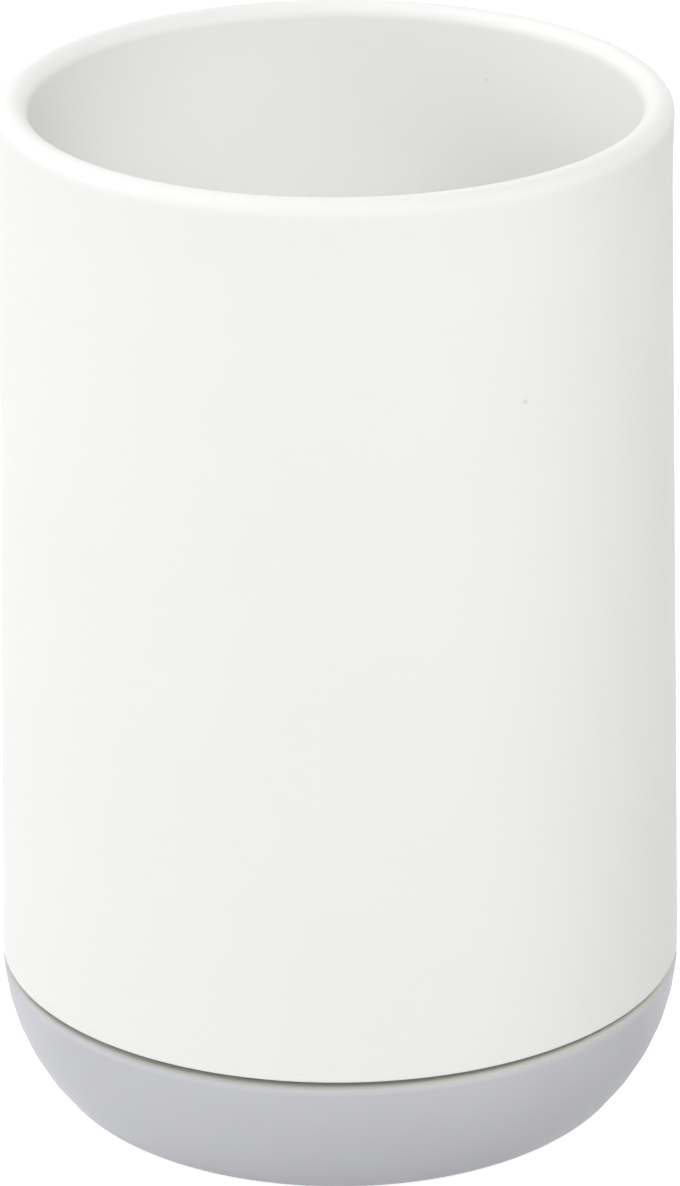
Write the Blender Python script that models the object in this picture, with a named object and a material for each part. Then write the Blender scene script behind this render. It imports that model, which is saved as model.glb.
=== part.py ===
"""Open tumbler for toothbrushes: a white drafted sleeve snapped onto a grey bowl-shaped base.

Metres, +Z up. The origin is the middle of the underside, on the surface that the holder stands on.
"""

import math

import bmesh
import bpy

MM = 0.001

# Driving sizes of the whole holder. The sleeve narrows towards the mouth, as its draft needs
holder_height = 112.5 * MM
seam_diameter = 73.6 * MM
seam_height = 16.6 * MM
mouth_draw_in = 1.6 * MM
mouth_diameter = seam_diameter - 2 * mouth_draw_in

# Gaps between pieces that rest on or slide into each other
seat_gap = 0.3 * MM
cut_overrun = 1.0 * MM

# Sleeve: wall, lip and the socket in its lower end
sleeve_wall = 3.0 * MM
lip_flare = 0.25 * MM
lip_flare_length = 9.0 * MM
sleeve_edge_round = 0.25 * MM
socket_wall = 1.6 * MM
socket_depth = 9.0 * MM
socket_lead_in = 0.5 * MM

# Base: bowl, shoulder, collar and the recess in its underside
bowl_arc_radius = 22.0 * MM
foot_round = 4.5 * MM
shoulder_round = 1.5 * MM
floor_wall = 2.4 * MM
floor_round = 5.0 * MM
collar_lead_in = 0.4 * MM

# Snap beads on the collar and the groove that takes them
bead_height = 1.4 * MM
bead_projection = 0.5 * MM
bead_rise = 3.2 * MM
bead_embed = 0.5 * MM
bead_crest_share = 1 / 3
bead_count = 6
bead_sweep = math.radians(26.0)

# Keys on the collar's root that stop the base turning in the sleeve
key_count = 3
key_width = 5.4 * MM
key_height = 2.2 * MM
key_projection = 0.7 * MM

# Seal ring on top of the collar
seal_thickness = 1.2 * MM
seal_setback = 0.4 * MM
seal_round = 0.3 * MM

# Foot pad in the recess under the base
pad_proud = 0.6 * MM
pad_recess_depth = 1.0 * MM
pad_rim_width = 3.0 * MM
pad_edge_round = 0.35 * MM
pad_groove_width = 1.6 * MM
pad_groove_depth = 0.3 * MM
pad_groove_shares = (0.5, 0.8)

# Colours, linear
white = (0.86, 0.86, 0.84)
cool_grey = (0.55, 0.555, 0.58)
pale_grey = (0.62, 0.62, 0.62)
dark_grey = (0.3, 0.31, 0.33)

# Faceting
turn_steps = 64
round_steps = 4
sweep_steps = 6
merge_distance = 0.01 * MM

# Places worked out from the sizes above
seam_radius = seam_diameter / 2
mouth_radius = mouth_diameter / 2
lip_radius = (sleeve_wall + lip_flare) / 2
lip_centre_z = holder_height - lip_radius
socket_radius = seam_radius - socket_wall
socket_top_z = seam_height + socket_depth
base_top_z = seam_height - seat_gap
collar_radius = socket_radius - seat_gap
collar_inner_radius = seam_radius - sleeve_wall
seal_top_z = socket_top_z - seat_gap
seal_bottom_z = seal_top_z - seal_thickness
collar_top_z = seal_bottom_z - seat_gap
bowl_centre = (seam_radius - bowl_arc_radius, seam_height)
recess_top_z = pad_proud + pad_recess_depth
floor_z = recess_top_z + floor_wall


def wall_radius(z):
    """Outer radius of the sleeve at a height: a straight draft that flares gently below the lip."""
    straight_top = mouth_radius - lip_flare
    climb = (z - seam_height) / (lip_centre_z - seam_height)
    radius = seam_radius + (straight_top - seam_radius) * climb
    into_flare = max(0.0, (z - lip_centre_z + lip_flare_length) / lip_flare_length)
    return radius + lip_flare * into_flare ** 2


def arc(centre, radius, start, end, steps):
    """Points on a circle from one angle to another, both ends included, in degrees."""
    points = []
    for step in range(steps + 1):
        angle = math.radians(start + (end - start) * step / steps)
        points.append((centre[0] + radius * math.cos(angle), centre[1] + radius * math.sin(angle)))
    return points


def round_inside(centre, radius, small_round, z):
    """A small round that touches a large arc from inside: its centre and the angle where they meet."""
    drop = centre[1] - z
    reach = math.sqrt((radius - small_round) ** 2 - drop ** 2)
    return (centre[0] + reach, z), -math.degrees(math.atan2(drop, reach))


def bowl_curve(centre, radius, start, floor, corner, steps):
    """A bowl's side, from near its widest point down to the flat floor: one large arc and a corner."""
    corner_centre, meeting = round_inside(centre, radius, corner, floor + corner)
    side = arc(centre, radius, start, meeting, steps)
    return side + arc(corner_centre, corner, meeting, -90, round_steps)[1:]


def material(name, colour, roughness):
    """A plain Principled material, not metallic."""
    made = bpy.data.materials.new(name)
    made.use_nodes = True
    shader = made.node_tree.nodes["Principled BSDF"]
    shader.inputs["Base Color"].default_value = (*colour, 1.0)
    shader.inputs["Roughness"].default_value = roughness
    shader.inputs["Metallic"].default_value = 0.0
    made.diffuse_color = (*colour, 1.0)
    return made


def add_object(name, mesh, finish=None):
    """Links a mesh into the scene as a named object."""
    made = bpy.data.objects.new(name, mesh)
    bpy.context.scene.collection.objects.link(made)
    if finish:
        mesh.materials.append(finish)
    return made


def turned(name, outline, finish, closed):
    """Revolves an outline round Z. It runs down the outer side, and is closed or ends on the axis."""
    mesh = bpy.data.meshes.new(name)
    count = len(outline)
    edges = [(i, i + 1) for i in range(count - 1)]
    if closed:
        edges.append((count - 1, 0))
    mesh.from_pydata([(r, 0, z) for r, z in outline], edges, [])
    made = add_object(name, mesh, finish)
    screw = made.modifiers.new("turn", "SCREW")
    screw.steps = turn_steps
    screw.render_steps = turn_steps
    screw.use_merge_vertices = True
    screw.merge_threshold = merge_distance
    screw.use_smooth_shade = True
    return made


def swept(name, outline, middle, sweep, copies):
    """Sweeps an outline through an angle about Z: solids with flat ends, set evenly round the axis."""
    shape = bmesh.new()
    for copy in range(copies):
        turn = middle + math.tau * copy / copies - sweep / 2
        rings = []
        for step in range(sweep_steps + 1):
            angle = turn + sweep * step / sweep_steps
            rings.append([shape.verts.new((r * math.cos(angle), r * math.sin(angle), z)) for r, z in outline])
        count = len(outline)
        for near, far in zip(rings, rings[1:]):
            for i in range(count):
                j = (i + 1) % count
                shape.faces.new((near[i], near[j], far[j], far[i]))
        shape.faces.new(rings[0])
        shape.faces.new(list(reversed(rings[-1])))
    bmesh.ops.recalc_face_normals(shape, faces=shape.faces)
    mesh = bpy.data.meshes.new(name)
    shape.to_mesh(mesh)
    shape.free()
    made = add_object(name, mesh)
    made.hide_render = True
    made.display_type = "WIRE"
    return made


def combine(target, tool, operation):
    """Joins a tool to a piece, or cuts it out."""
    step = target.modifiers.new(tool.name, "BOOLEAN")
    step.operation = operation
    step.object = tool
    step.solver = "EXACT"


def bead_outline(root_radius, middle_z, height, projection, embed):
    """A snap bead's section: sloped above and below, flat at its crest."""
    half = height / 2
    crest = half * bead_crest_share
    tip = root_radius + projection
    return [
        (root_radius - embed, middle_z + half),
        (root_radius, middle_z + half),
        (tip, middle_z + crest),
        (tip, middle_z - crest),
        (root_radius, middle_z - half),
        (root_radius - embed, middle_z - half),
    ]


def block_outline(inner_radius, outer_radius, bottom, top):
    """A plain rectangular section."""
    return [(inner_radius, top), (outer_radius, top), (outer_radius, bottom), (inner_radius, bottom)]


def make_sleeve():
    """White tube: rounded lip, drafted wall, and a socket with a snap groove and key notches."""
    lip_centre = (mouth_radius - lip_radius, lip_centre_z)
    outline = arc(lip_centre, lip_radius, 90, 0, 2 * round_steps)
    flare_steps = round_steps + 1
    for step in range(1, flare_steps + 1):
        z = lip_centre_z - lip_flare_length * step / flare_steps
        outline.append((wall_radius(z), z))
    edge_centre = (seam_radius - sleeve_edge_round, seam_height + sleeve_edge_round)
    outline += arc(edge_centre, sleeve_edge_round, 0, -90, 2)

    # The socket, from its lead-in up past the groove to the shoulder that the seal bears on
    outline.append((socket_radius + socket_lead_in, seam_height))
    outline.append((socket_radius, seam_height + socket_lead_in))
    groove_z = base_top_z + bead_rise
    groove_half = bead_height / 2 + seat_gap
    groove_crest = bead_height / 2 * bead_crest_share + seat_gap
    groove_radius = collar_radius + bead_projection + seat_gap
    outline.append((socket_radius, groove_z - groove_half))
    outline.append((groove_radius, groove_z - groove_crest))
    outline.append((groove_radius, groove_z + groove_crest))
    outline.append((socket_radius, groove_z + groove_half))
    outline.append((socket_radius, socket_top_z))
    outline.append((wall_radius(socket_top_z) - sleeve_wall, socket_top_z))
    outline += arc(lip_centre, lip_radius, 180, 90, 2 * round_steps)[:-1]
    sleeve = turned("sleeve", outline, material("white_plastic", white, 0.45), True)

    notch_radius = collar_radius + key_projection + seat_gap
    notch_top = base_top_z + key_height + seat_gap
    notch = block_outline(socket_radius - cut_overrun, notch_radius, seam_height - cut_overrun, notch_top)
    notch_sweep = (key_width + 2 * seat_gap) / socket_radius
    combine(sleeve, swept("key_notches", notch, 0, notch_sweep, key_count), "DIFFERENCE")
    return sleeve


def make_base():
    """Grey bowl: dished inside, a collar that plugs into the sleeve, and a recess for the foot pad."""
    inner_arc_radius = collar_inner_radius - bowl_centre[0]
    bowl_steps = 2 * round_steps
    inside = bowl_curve(bowl_centre, inner_arc_radius, 0, floor_z, floor_round, bowl_steps)
    outline = [(0, floor_z)] + list(reversed(inside))
    outline.append((collar_inner_radius, collar_top_z))
    outline.append((collar_radius - collar_lead_in, collar_top_z))
    outline.append((collar_radius, collar_top_z - collar_lead_in))
    outline.append((collar_radius, base_top_z))
    shoulder_z = base_top_z - shoulder_round
    shoulder_centre, shoulder_end = round_inside(bowl_centre, bowl_arc_radius, shoulder_round, shoulder_z)
    outline += arc(shoulder_centre, shoulder_round, 90, shoulder_end, round_steps)[:-1]
    outside_steps = bowl_steps + round_steps
    outside = bowl_curve(bowl_centre, bowl_arc_radius, shoulder_end, pad_proud, foot_round, outside_steps)
    outline += outside
    recess_radius = outside[-1][0] - pad_rim_width
    outline.append((recess_radius, pad_proud))
    outline.append((recess_radius, recess_top_z))
    outline.append((0, recess_top_z))
    base = turned("base", outline, material("grey_plastic", cool_grey, 0.42), False)

    bead_z = base_top_z + bead_rise
    bead = bead_outline(collar_radius, bead_z, bead_height, bead_projection, bead_embed)
    bead_middle = math.pi / bead_count
    combine(base, swept("snap_beads", bead, bead_middle, bead_sweep, bead_count), "UNION")
    key_tip = collar_radius + key_projection
    key = block_outline(collar_radius - bead_embed, key_tip, base_top_z - bead_embed, base_top_z + key_height)
    combine(base, swept("keys", key, 0, key_width / socket_radius, key_count), "UNION")
    return base, recess_radius


def make_seal_ring():
    """Flat ring that the sleeve's shoulder presses onto the collar."""
    inner = collar_inner_radius + seal_setback
    outer = socket_radius - seat_gap
    outline = arc((outer - seal_round, seal_top_z - seal_round), seal_round, 90, 0, 2)
    outline += arc((outer - seal_round, seal_bottom_z + seal_round), seal_round, 0, -90, 2)
    outline += [(inner, seal_bottom_z), (inner, seal_top_z)]
    return turned("seal_ring", outline, material("seal_rubber", pale_grey, 0.6), True)


def make_foot_pad(recess_radius):
    """Soft disc under the base, with ring grooves in its underside for grip."""
    radius = recess_radius - seat_gap
    top = recess_top_z - seat_gap
    outline = [(0, top), (radius, top)]
    outline += arc((radius - pad_edge_round, pad_edge_round), pad_edge_round, 0, -90, 3)
    for share in reversed(pad_groove_shares):
        middle = radius * share
        outer = middle + pad_groove_width / 2
        inner = middle - pad_groove_width / 2
        outline.append((outer, 0))
        outline.append((outer - pad_groove_depth, pad_groove_depth))
        outline.append((inner + pad_groove_depth, pad_groove_depth))
        outline.append((inner, 0))
    outline.append((0, 0))
    return turned("foot_pad", outline, material("pad_rubber", dark_grey, 0.7), False)


for leftover in list(bpy.data.objects):
    bpy.data.objects.remove(leftover, do_unlink=True)

make_sleeve()
base_object, pad_recess_radius = make_base()
make_seal_ring()
make_foot_pad(pad_recess_radius)
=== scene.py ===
"""White toothbrush holder on a grey bowl-shaped base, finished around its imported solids.

Metres, +Z up, in the frame's own place: the holder stands on Z zero, centred on the Z axis.
The sections follow the holder as it is put together, from the base up.
"""

import math

import bmesh
import bpy
from mathutils import Matrix, Vector


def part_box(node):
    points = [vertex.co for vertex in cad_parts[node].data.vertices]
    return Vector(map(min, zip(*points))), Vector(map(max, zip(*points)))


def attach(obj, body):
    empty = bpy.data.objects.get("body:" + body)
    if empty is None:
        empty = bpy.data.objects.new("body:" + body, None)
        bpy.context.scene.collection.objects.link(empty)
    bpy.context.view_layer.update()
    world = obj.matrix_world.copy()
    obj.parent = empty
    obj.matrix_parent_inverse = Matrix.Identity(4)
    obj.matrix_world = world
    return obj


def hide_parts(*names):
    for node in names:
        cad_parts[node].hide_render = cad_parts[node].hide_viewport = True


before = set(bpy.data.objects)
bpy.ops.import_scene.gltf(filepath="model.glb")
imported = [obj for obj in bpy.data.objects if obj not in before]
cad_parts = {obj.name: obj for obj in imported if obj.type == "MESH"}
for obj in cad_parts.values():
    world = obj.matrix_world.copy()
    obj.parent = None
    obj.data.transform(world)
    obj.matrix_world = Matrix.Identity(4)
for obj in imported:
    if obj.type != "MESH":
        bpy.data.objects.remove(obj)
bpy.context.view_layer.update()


# Base: a shallow bowl injection moulded in satin grey plastic, with a plain rounded outside.
# Its collar pushes up into the sleeve, where six short beads snap into a groove and three keys
# below them stop it turning. Its underside is recessed for the foot pad.
MM = 0.001
base_low, base_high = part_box("base")
sleeve_low, sleeve_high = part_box("sleeve")
base_radius = sleeve_high.x
wall = 3.0 * MM
bowl_arc_radius = 22.0 * MM
foot_round = 4.5 * MM
floor_wall = 2.4 * MM
floor_round = 5.0 * MM
rim_round = 0.3 * MM
recess_depth = 1.0 * MM
recess_rim = 3.0 * MM
recess_z = base_low.z + recess_depth

seam_z = sleeve_low.z
seam_gap = 0.75 * MM
seam_lean = 0.15 * MM
base_top_z = seam_z - seam_gap
shoulder_round = 0.8 * MM
bowl_centre = (base_radius - bowl_arc_radius, seam_z)

joint_gap = 0.3 * MM
joint_z = seam_z - joint_gap
socket_wall = 1.6 * MM
collar_radius = base_radius - socket_wall - joint_gap
collar_inner_radius = base_radius - wall
collar_top_z = base_high.z
collar_lead_in = 0.4 * MM
bead_rise = 3.2 * MM
bead_z = joint_z + bead_rise
bead_height = 1.4 * MM
bead_half_crest = bead_height / 6
bead_projection = 0.5 * MM
bead_count = 6
bead_sweep = math.radians(26.0)
key_height = 2.2 * MM
key_top_z = joint_z + key_height
key_width = 5.4 * MM
key_projection = 0.7 * MM
key_count = 3
key_sweep = key_width / collar_radius

turn_steps = 288
arc_step = math.radians(7.5)
fewest_arc_steps = 3
merge_distance = 0.001 * MM
sharp_angle = math.radians(32.0)


def arc(centre, radius, start, end):
    """Points along a circle, both ends included, with angles in degrees from straight outward."""
    steps = max(fewest_arc_steps, math.ceil(abs(math.radians(end - start)) / arc_step))
    points = []
    for step in range(steps + 1):
        angle = math.radians(start + (end - start) * step / steps)
        points.append((centre[0] + radius * math.cos(angle), centre[1] + radius * math.sin(angle)))
    return points


def round_inside(centre, radius, z, small_round):
    """A smaller round that touches a large arc from inside: its centre at a height, and where they meet."""
    drop = centre[1] - z
    reach = math.sqrt((radius - small_round) ** 2 - drop ** 2)
    return (centre[0] + reach, z), -math.degrees(math.atan2(drop, reach))


def bowl_side(centre, radius, start, floor_z, corner_round):
    """A bowl's side, from an angle on its large arc down and round a corner to the floor."""
    corner, meeting = round_inside(centre, radius, floor_z + corner_round, corner_round)
    return arc(centre, radius, start, meeting)[:-1] + arc(corner, corner_round, meeting, -90)


def on_feature(angle, count, sweep, first):
    """Whether an angle round the axis falls on one of several evenly spaced features."""
    pitch = math.tau / count
    off_middle = (angle - first + pitch / 2) % pitch - pitch / 2
    return abs(off_middle) <= sweep / 2


def turned_piece(name, material, section_at, closed):
    """A moulded round piece: its wall section carried once round Z, where it may change with the angle.

    A section that isn't closed starts and ends on the axis.
    """
    shape = bmesh.new()
    rings = []
    for step in range(turn_steps):
        angle = math.tau * step / turn_steps
        turn = Matrix.Rotation(angle, 3, "Z")
        rings.append([shape.verts.new(turn @ Vector((r, 0, z))) for r, z in section_at(angle)])
    count = len(rings[0])
    for near, far in zip(rings, rings[1:] + rings[:1]):
        for i in range(count if closed else count - 1):
            j = (i + 1) % count
            shape.faces.new((near[i], near[j], far[j], far[i]))
    bmesh.ops.remove_doubles(shape, verts=shape.verts, dist=merge_distance)
    bmesh.ops.recalc_face_normals(shape, faces=shape.faces)
    mesh = bpy.data.meshes.new(name)
    shape.to_mesh(mesh)
    shape.free()
    mesh.shade_smooth()
    mesh.set_sharp_from_angle(angle=sharp_angle)
    mesh.materials.append(material)
    piece = bpy.data.objects.new(name, mesh)
    bpy.context.scene.collection.objects.link(piece)
    return piece


inner_arc_radius = collar_inner_radius - bowl_centre[0]
inner_bowl = bowl_side(bowl_centre, inner_arc_radius, 0, recess_z + floor_wall, floor_round)
shoulder_centre, shoulder_end = round_inside(
    bowl_centre, bowl_arc_radius, base_top_z - shoulder_round, shoulder_round)
outer_bowl = bowl_side(bowl_centre, bowl_arc_radius, shoulder_end, base_low.z, foot_round)
recess_radius = outer_bowl[-1][0] - recess_rim


def base_section(angle):
    """The bowl and its collar, from the middle of the floor inside, over the collar and under the foot.

    The shoulder sits a hair lower on the left, so the seam is widest there. The keys end inside the sleeve.
    """
    bead = bead_projection if on_feature(angle, bead_count, bead_sweep, math.pi / bead_count) else 0
    key = key_projection if on_feature(angle, key_count, key_sweep, 0) else 0
    sink = -seam_lean * math.cos(angle)
    section = [(0, recess_z + floor_wall)] + inner_bowl[::-1]
    section += arc((collar_inner_radius + rim_round, collar_top_z - rim_round), rim_round, 180, 90)
    section += [
        (collar_radius - collar_lead_in, collar_top_z),
        (collar_radius, collar_top_z - collar_lead_in),
        (collar_radius, bead_z + bead_height / 2),
        (collar_radius + bead, bead_z + bead_half_crest),
        (collar_radius + bead, bead_z - bead_half_crest),
        (collar_radius, bead_z - bead_height / 2),
        (collar_radius, key_top_z),
        (collar_radius + key, key_top_z),
        (collar_radius + key, seam_z),
        (collar_radius, seam_z),
        (collar_radius, base_top_z - sink),
    ]
    shoulder = arc(shoulder_centre, shoulder_round, 90, shoulder_end)[:-1]
    section += [(r, z - sink * (1 - i / len(shoulder))) for i, (r, z) in enumerate(shoulder)]
    section += outer_bowl
    section += [(recess_radius, base_low.z), (recess_radius, recess_z), (0, recess_z)]
    return section


def new_group(name, inputs, outputs):
    """An empty shader node group with named sockets, and its two end nodes."""
    group = bpy.data.node_groups.new(name, "ShaderNodeTree")
    for label, kind, value in inputs:
        socket = group.interface.new_socket(label, in_out="INPUT", socket_type=kind)
        socket.default_value = value
    for label, kind in outputs:
        group.interface.new_socket(label, in_out="OUTPUT", socket_type=kind)
    return group, group.nodes.new("NodeGroupInput"), group.nodes.new("NodeGroupOutput")


def set_inputs(node, values):
    """Sets a node's inputs by their labels."""
    for label, value in values.items():
        node.inputs[label].default_value = value


def moulded_skin_group():
    """The skin of a moulded plastic: faint clouds in its colour, an uneven satin and a fine grain."""
    group, given, result = new_group(
        "moulded_skin",
        [
            ("Colour", "NodeSocketColor", (0.8, 0.8, 0.8, 1)),
            ("Clouded Colour", "NodeSocketColor", (0.75, 0.75, 0.75, 1)),
            ("Cloud Scale", "NodeSocketFloat", 40.0),
            ("Satin Low", "NodeSocketFloat", 0.4),
            ("Satin High", "NodeSocketFloat", 0.5),
            ("Grain Scale", "NodeSocketFloat", 3000.0),
        ],
        [("Colour", "NodeSocketColor"), ("Roughness", "NodeSocketFloat"), ("Height", "NodeSocketFloat")],
    )
    place = group.nodes.new("ShaderNodeTexCoord")
    cloud = group.nodes.new("ShaderNodeTexNoise")
    set_inputs(cloud, {"Detail": 3.0, "Roughness": 0.45})
    group.links.new(place.outputs["Object"], cloud.inputs["Vector"])
    group.links.new(given.outputs["Cloud Scale"], cloud.inputs["Scale"])
    soften = group.nodes.new("ShaderNodeMapRange")
    soften.interpolation_type = "SMOOTHSTEP"
    set_inputs(soften, {"From Min": 0.35, "From Max": 0.65})
    group.links.new(cloud.outputs["Fac"], soften.inputs["Value"])
    tone = group.nodes.new("ShaderNodeMix")
    tone.data_type = "RGBA"
    group.links.new(soften.outputs["Result"], tone.inputs["Factor"])
    group.links.new(given.outputs["Colour"], tone.inputs["A"])
    group.links.new(given.outputs["Clouded Colour"], tone.inputs["B"])
    group.links.new(tone.outputs["Result"], result.inputs["Colour"])

    grain = group.nodes.new("ShaderNodeTexNoise")
    set_inputs(grain, {"Detail": 2.0})
    group.links.new(place.outputs["Object"], grain.inputs["Vector"])
    group.links.new(given.outputs["Grain Scale"], grain.inputs["Scale"])
    group.links.new(grain.outputs["Fac"], result.inputs["Height"])

    satin = group.nodes.new("ShaderNodeMapRange")
    group.links.new(soften.outputs["Result"], satin.inputs["Value"])
    group.links.new(given.outputs["Satin Low"], satin.inputs["To Min"])
    group.links.new(given.outputs["Satin High"], satin.inputs["To Max"])
    group.links.new(satin.outputs["Result"], result.inputs["Roughness"])
    return group


def place_group(tree, group, name):
    """Places a group in a material, under a name."""
    node = tree.nodes.new("ShaderNodeGroup")
    node.node_tree = group
    node.name = name
    return node


def skinned_material(name, values, grain_height):
    """A Principled material whose colour, satin and grain come from the moulded skin."""
    made = bpy.data.materials.new(name)
    made.use_nodes = True
    tree = made.node_tree
    shader = tree.nodes["Principled BSDF"]
    skin = place_group(tree, moulded_skin, "skin")
    set_inputs(skin, values)
    bump = tree.nodes.new("ShaderNodeBump")
    bump.inputs["Distance"].default_value = grain_height
    tree.links.new(skin.outputs["Height"], bump.inputs["Height"])
    tree.links.new(bump.outputs["Normal"], shader.inputs["Normal"])
    tree.links.new(skin.outputs["Roughness"], shader.inputs["Roughness"])
    tree.links.new(skin.outputs["Colour"], shader.inputs["Base Color"])
    return made


def tint_where(tree, mask, colour):
    """Lays a colour over the moulded skin's own where a mask is one."""
    tint = tree.nodes.new("ShaderNodeMix")
    tint.data_type = "RGBA"
    tint.inputs["B"].default_value = colour
    tree.links.new(mask, tint.inputs["Factor"])
    tree.links.new(tree.nodes["skin"].outputs["Colour"], tint.inputs["A"])
    tree.links.new(tint.outputs["Result"], tree.nodes["Principled BSDF"].inputs["Base Color"])


moulded_skin = moulded_skin_group()
plastic_grain_height = 0.002 * MM
plastic_ior = 1.48
grey_specular = 0.1
grey_plastic = skinned_material(
    "grey_plastic",
    {
        "Colour": (0.591, 0.596, 0.627, 1),
        "Clouded Colour": (0.58, 0.585, 0.617, 1),
        "Cloud Scale": 90.0,
        "Satin Low": 0.42,
        "Satin High": 0.48,
        "Grain Scale": 4000.0,
    },
    plastic_grain_height,
)
grey_tree = grey_plastic.node_tree
set_inputs(grey_tree.nodes["Principled BSDF"], {"IOR": plastic_ior, "Specular IOR Level": grey_specular})

# Painted shade: the top of the shoulder, just under the sleeve's edge, is painted a faint warm darker grey
# that stands in for the sleeve's shade and the warm light the white sleeve bounces down onto it.
painted_shade_colour = (0.598, 0.598, 0.561, 1)
painted_shade_depth = 0.35 * MM
shoulder_place = grey_tree.nodes.new("ShaderNodeTexCoord")
shoulder_height = grey_tree.nodes.new("ShaderNodeSeparateXYZ")
grey_tree.links.new(shoulder_place.outputs["Object"], shoulder_height.inputs["Vector"])
painted_shade_mask = grey_tree.nodes.new("ShaderNodeMapRange")
painted_shade_mask.interpolation_type = "SMOOTHSTEP"
set_inputs(painted_shade_mask, {"From Min": base_top_z - painted_shade_depth, "From Max": base_top_z - seam_lean})
grey_tree.links.new(shoulder_height.outputs["Z"], painted_shade_mask.inputs["Value"])
tint_where(grey_tree, painted_shade_mask.outputs["Result"], painted_shade_colour)

bowl = turned_piece("bowl_base", grey_plastic, base_section, closed=False)
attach(bowl, "root")
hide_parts("base")


# Foot pad: a soft dark disc moulded in an elastomer and glued into the recess under the bowl.
# It stands a little proud, so that the holder rests on it, and two ring grooves give it grip.
pad_low, pad_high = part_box("foot_pad")
pad_radius = recess_radius - joint_gap
pad_edge_round = 0.35 * MM
pad_top_round = 0.15 * MM
groove_width = 1.6 * MM
groove_depth = 0.3 * MM
groove_shares = (0.5, 0.8)
pad_grain_height = 0.02 * MM


def pad_section(angle):
    """The disc, the same all round, from the middle of its top over its edge to the middle below."""
    section = [(0, pad_high.z)]
    section += arc((pad_radius - pad_top_round, pad_high.z - pad_top_round), pad_top_round, 90, 0)
    section += arc((pad_radius - pad_edge_round, pad_low.z + pad_edge_round), pad_edge_round, 0, -90)
    for share in reversed(groove_shares):
        middle = pad_radius * share
        section += [
            (middle + groove_width / 2, pad_low.z),
            (middle + groove_width / 2 - groove_depth, pad_low.z + groove_depth),
            (middle - groove_width / 2 + groove_depth, pad_low.z + groove_depth),
            (middle - groove_width / 2, pad_low.z),
        ]
    section.append((0, pad_low.z))
    return section


pad_rubber = skinned_material(
    "pad_rubber",
    {
        "Colour": (0.27, 0.28, 0.3, 1),
        "Clouded Colour": (0.29, 0.3, 0.318, 1),
        "Cloud Scale": 160.0,
        "Satin Low": 0.62,
        "Satin High": 0.78,
        "Grain Scale": 2600.0,
    },
    pad_grain_height,
)
pad = turned_piece("grip_pad", pad_rubber, pad_section, closed=False)
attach(pad, "root")
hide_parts("foot_pad")


# Seal: a flat ring of pale silicone that lies on the collar, under the shoulder in the sleeve.
# Pushing the base home squeezes it, so that water doesn't run out through the joint.
seal_low, seal_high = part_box("seal_ring")
seal_radius = seal_high.x
seal_set_back = 0.4 * MM
seal_inner_radius = collar_inner_radius + seal_set_back
seal_round = 0.3 * MM
seal_grain_height = 0.01 * MM


def seal_section(angle):
    """The ring, the same all round: flat inside, rounded outside."""
    section = arc((seal_radius - seal_round, seal_high.z - seal_round), seal_round, 90, 0)
    section += arc((seal_radius - seal_round, seal_low.z + seal_round), seal_round, 0, -90)
    section += [(seal_inner_radius, seal_low.z), (seal_inner_radius, seal_high.z)]
    return section


seal_rubber = skinned_material(
    "seal_rubber",
    {
        "Colour": (0.62, 0.62, 0.61, 1),
        "Clouded Colour": (0.57, 0.57, 0.565, 1),
        "Cloud Scale": 120.0,
        "Satin Low": 0.5,
        "Satin High": 0.65,
        "Grain Scale": 2600.0,
    },
    seal_grain_height,
)
seal = turned_piece("silicone_seal", seal_rubber, seal_section, closed=True)
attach(seal, "root")
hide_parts("seal_ring")


# Sleeve: a tall tube injection moulded in satin white plastic, drawn off a core through its lower
# end, so it narrows a little towards the mouth. Its lip is thickened and fully rounded. The
# socket in its lower end has the snap groove, three notches for the keys and the seal's shoulder.
mouth_draw_in = 1.6 * MM
mouth_radius = base_radius - mouth_draw_in
lip_flare = 0.25 * MM
lip_flare_length = 9.0 * MM
lip_radius = (wall + lip_flare) / 2
lip_centre = (mouth_radius - lip_radius, sleeve_high.z - lip_radius)
flare_steps = 12
lower_edge_round = 0.25 * MM
socket_radius = base_radius - socket_wall
socket_lead_in = 0.5 * MM
socket_top_z = seal_high.z + joint_gap
shoulder_edge_round = 0.3 * MM
groove_half_crest = bead_half_crest + joint_gap
groove_half_height = bead_height / 2 + joint_gap
groove_radius = collar_radius + bead_projection + joint_gap
notch_radius = collar_radius + key_projection + joint_gap
notch_top_z = key_top_z + joint_gap
notch_sweep = key_sweep + 2 * joint_gap / collar_radius


def sleeve_radius(z):
    """The sleeve's outer radius at a height: a straight draft that flares gently below the lip."""
    climb = (z - sleeve_low.z) / (lip_centre[1] - sleeve_low.z)
    straight = base_radius + (mouth_radius - lip_flare - base_radius) * climb
    into_flare = max(0, 1 - (lip_centre[1] - z) / lip_flare_length)
    return straight + lip_flare * into_flare ** 2


def sleeve_section(angle):
    """The sleeve's wall, from the top of the lip down its outside and up through the socket."""
    notch = notch_radius if on_feature(angle, key_count, notch_sweep, 0) else socket_radius
    section = arc(lip_centre, lip_radius, 90, 0)
    for step in range(1, flare_steps + 1):
        z = lip_centre[1] - lip_flare_length * step / flare_steps
        section.append((sleeve_radius(z), z))
    edge = (base_radius - lower_edge_round, sleeve_low.z + lower_edge_round)
    section += arc(edge, lower_edge_round, 0, -90)
    section += [
        (max(notch, socket_radius + socket_lead_in), sleeve_low.z),
        (notch, sleeve_low.z + socket_lead_in),
        (notch, notch_top_z),
        (socket_radius, notch_top_z),
        (socket_radius, bead_z - groove_half_height),
        (groove_radius, bead_z - groove_half_crest),
        (groove_radius, bead_z + groove_half_crest),
        (socket_radius, bead_z + groove_half_height),
        (socket_radius, socket_top_z),
    ]
    inner_radius = sleeve_radius(socket_top_z) - wall
    shoulder_edge = (inner_radius + shoulder_edge_round, socket_top_z + shoulder_edge_round)
    section += arc(shoulder_edge, shoulder_edge_round, 270, 180)
    section += arc(lip_centre, lip_radius, 180, 90)[:-1]
    return section


def largest(tree, values):
    """The largest of several node outputs."""
    result = values[0]
    for value in values[1:]:
        larger = tree.nodes.new("ShaderNodeMath")
        larger.operation = "MAXIMUM"
        tree.links.new(result, larger.inputs[0])
        tree.links.new(value, larger.inputs[1])
        result = larger.outputs[0]
    return result


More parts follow.
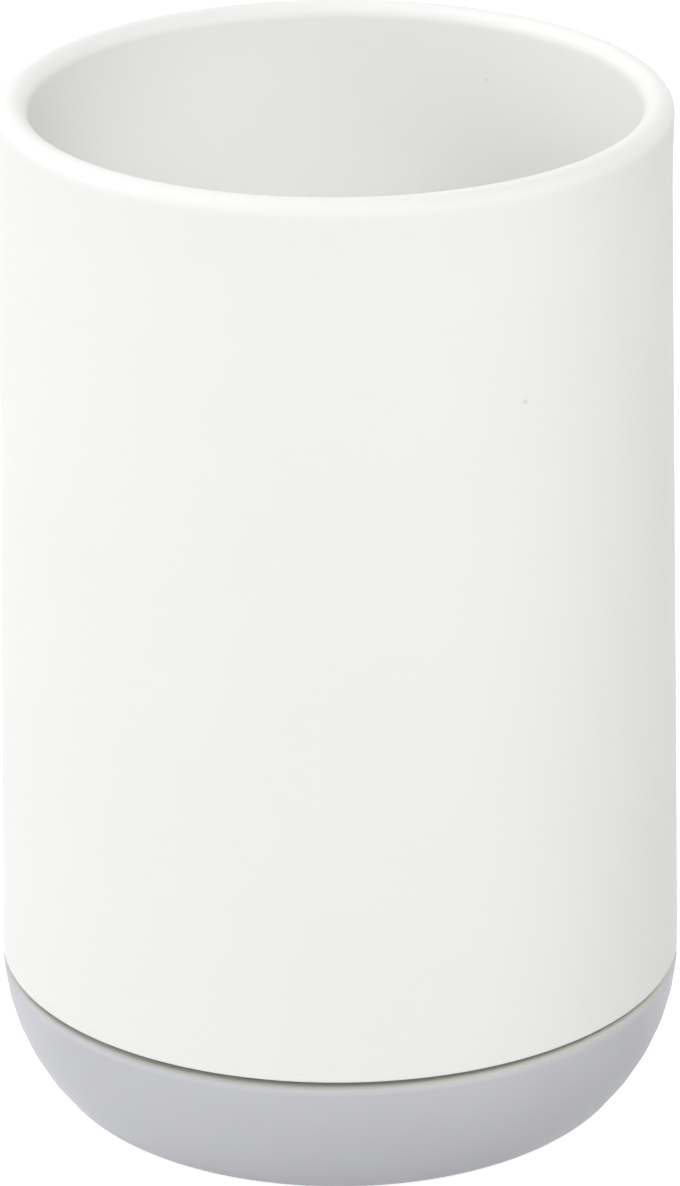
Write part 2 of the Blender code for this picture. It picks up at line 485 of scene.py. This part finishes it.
def dust_specks_group(specks):
    """A mask of single specks: one at the middle of each, fading to zero at its radius."""
    group, _, result = new_group("dust_specks", [], [("Speck", "NodeSocketFloat")])
    place = group.nodes.new("ShaderNodeTexCoord")
    masks = []
    for middle, radius in specks:
        distance = group.nodes.new("ShaderNodeVectorMath")
        distance.operation = "DISTANCE"
        distance.inputs[1].default_value = middle
        group.links.new(place.outputs["Object"], distance.inputs[0])
        fade = group.nodes.new("ShaderNodeMapRange")
        fade.interpolation_type = "SMOOTHSTEP"
        set_inputs(fade, {"From Max": radius, "To Min": 1.0, "To Max": 0.0})
        group.links.new(distance.outputs["Value"], fade.inputs["Value"])
        masks.append(fade.outputs["Result"])
    group.links.new(largest(group, masks), result.inputs["Speck"])
    return group


white_specular = 0.05
white_plastic = skinned_material(
    "white_plastic",
    {
        "Colour": (0.932, 0.929, 0.914, 1),
        "Clouded Colour": (0.927, 0.924, 0.911, 1),
        "Cloud Scale": 55.0,
        "Satin Low": 0.58,
        "Satin High": 0.64,
        "Grain Scale": 4000.0,
    },
    plastic_grain_height,
)
white_tree = white_plastic.node_tree
set_inputs(white_tree.nodes["Principled BSDF"], {"IOR": plastic_ior, "Specular IOR Level": white_specular})

# Two specks of dust: one on the outside at the right, and one on the far wall inside the mouth.
outer_speck = ((18.98 * MM, -29.85 * MM, 89.51 * MM), 0.42 * MM)
inner_speck = ((16.29 * MM, 27.61 * MM, 105.18 * MM), 0.28 * MM)
speck_colour = (0.78, 0.775, 0.76, 1)
dust_specks = place_group(white_tree, dust_specks_group((outer_speck, inner_speck)), "dust_specks")
tint_where(white_tree, dust_specks.outputs["Speck"], speck_colour)

sleeve = turned_piece("white_sleeve", white_plastic, sleeve_section, closed=True)
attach(sleeve, "root")
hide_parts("sleeve")


# Floor: a plain white studio table. The camera and reflections see it as white paper, with
# what is left of the holder's soft shadow, and it throws light back up under the bowl.
floor_reach = 6.0
floor_clearance = 0.02 * MM
floor_colour = (0.8, 0.8, 0.8, 1)
floor_roughness = 0.9
floor_white = 0.85
white_light = (1, 1, 1, 1)
floor_mesh = bpy.data.meshes.new("studio_floor")
floor_corners = [(x * floor_reach, y * floor_reach, 0) for x, y in ((-1, -1), (1, -1), (1, 1), (-1, 1))]
floor_mesh.from_pydata(floor_corners, [], [(0, 1, 2, 3)])
floor = bpy.data.objects.new("studio_floor", floor_mesh)
floor.location.z = -floor_clearance
bpy.context.scene.collection.objects.link(floor)


def seen_directly(tree):
    """One where a ray comes from the camera, a reflection or a clear material, and zero for light."""
    path = tree.nodes.new("ShaderNodeLightPath")
    return largest(tree, [path.outputs["Is %s Ray" % kind] for kind in ("Camera", "Glossy", "Transmission")])


floor_paper = bpy.data.materials.new("floor_paper")
floor_paper.use_nodes = True
floor_tree = floor_paper.node_tree
floor_shader = floor_tree.nodes["Principled BSDF"]
set_inputs(floor_shader, {
    "Base Color": floor_colour,
    "Roughness": floor_roughness,
    "Specular IOR Level": 0.0,
    "Emission Color": white_light,
})
floor_glow = floor_tree.nodes.new("ShaderNodeMath")
floor_glow.operation = "MULTIPLY"
floor_glow.inputs[1].default_value = floor_white
floor_tree.links.new(seen_directly(floor_tree), floor_glow.inputs[0])
floor_tree.links.new(floor_glow.outputs[0], floor_shader.inputs["Emission Strength"])
floor_mesh.materials.append(floor_paper)


# Studio: seven square softboxes on a pale surround, the strongest in front and the others round both
# sides towards the back. They don't show to the camera, which sees the surround as plain white.
surround_level = 0.11
studio_world = bpy.data.worlds.new("studio_surround")
bpy.context.scene.world = studio_world
studio_world.use_nodes = True
world_tree = studio_world.node_tree
surround = world_tree.nodes["Background"]
set_inputs(surround, {"Color": white_light, "Strength": surround_level})
backdrop = world_tree.nodes.new("ShaderNodeBackground")
set_inputs(backdrop, {"Color": white_light})
either = world_tree.nodes.new("ShaderNodeMixShader")
world_tree.links.new(seen_directly(world_tree), either.inputs["Fac"])
world_tree.links.new(surround.outputs[0], either.inputs[1])
world_tree.links.new(backdrop.outputs[0], either.inputs[2])
world_tree.links.new(either.outputs[0], world_tree.nodes["World Output"].inputs["Surface"])

holder_middle = Vector((0, 0, sleeve_high.z / 2))
softbox_distance = 1.3
softbox_side = 0.7


def softbox(name, round_from_front, above_level, power):
    """A square soft lamp that faces the holder, placed by its angle to the right of straight in front."""
    turn, rise = math.radians(round_from_front), math.radians(above_level)
    away = Vector((math.sin(turn) * math.cos(rise), -math.cos(turn) * math.cos(rise), math.sin(rise)))
    lamp = bpy.data.lights.new(name, "AREA")
    lamp.size = softbox_side
    lamp.energy = power
    made = bpy.data.objects.new(name, lamp)
    made.location = holder_middle + softbox_distance * away
    made.rotation_euler = away.to_track_quat("Z", "Y").to_euler()
    made.visible_camera = False
    bpy.context.scene.collection.objects.link(made)


softbox("front_softbox", 0, 35, 8.3)
softbox("high_right_softbox", 45, 60, 4.6)
softbox("right_softbox", 90, 35, 1.4)
softbox("low_rear_right_softbox", 150, 15, 4.6)
softbox("low_left_softbox", -90, 15, 4.9)
softbox("left_softbox", -120, 35, 5.1)
softbox("rear_left_softbox", -150, 35, 2.2)


# Camera: a long lens in front of the holder and well above it, looking down over the lip into the
# mouth. It rolls by a third of a degree, which gives the holder the slight lean of the photograph.
camera_place = (0, -0.64179, 0.31802)
camera_pitch = math.radians(22.156)
camera_yaw = math.radians(0.0167)
camera_roll = math.radians(0.337)
camera_data = bpy.data.cameras.new("photo_camera")
camera_data.lens = 196.757
camera_data.sensor_width = 36.0
camera = bpy.data.objects.new("photo_camera", camera_data)
level_turn = Matrix.Rotation(-camera_yaw, 4, "Z") @ Matrix.Rotation(math.pi / 2 - camera_pitch, 4, "X")
camera.matrix_world = Matrix.Translation(camera_place) @ level_turn @ Matrix.Rotation(-camera_roll, 4, "Z")
bpy.context.scene.collection.objects.link(camera)
bpy.context.scene.camera = camera
bpy.context.scene.view_settings.view_transform = "Standard"
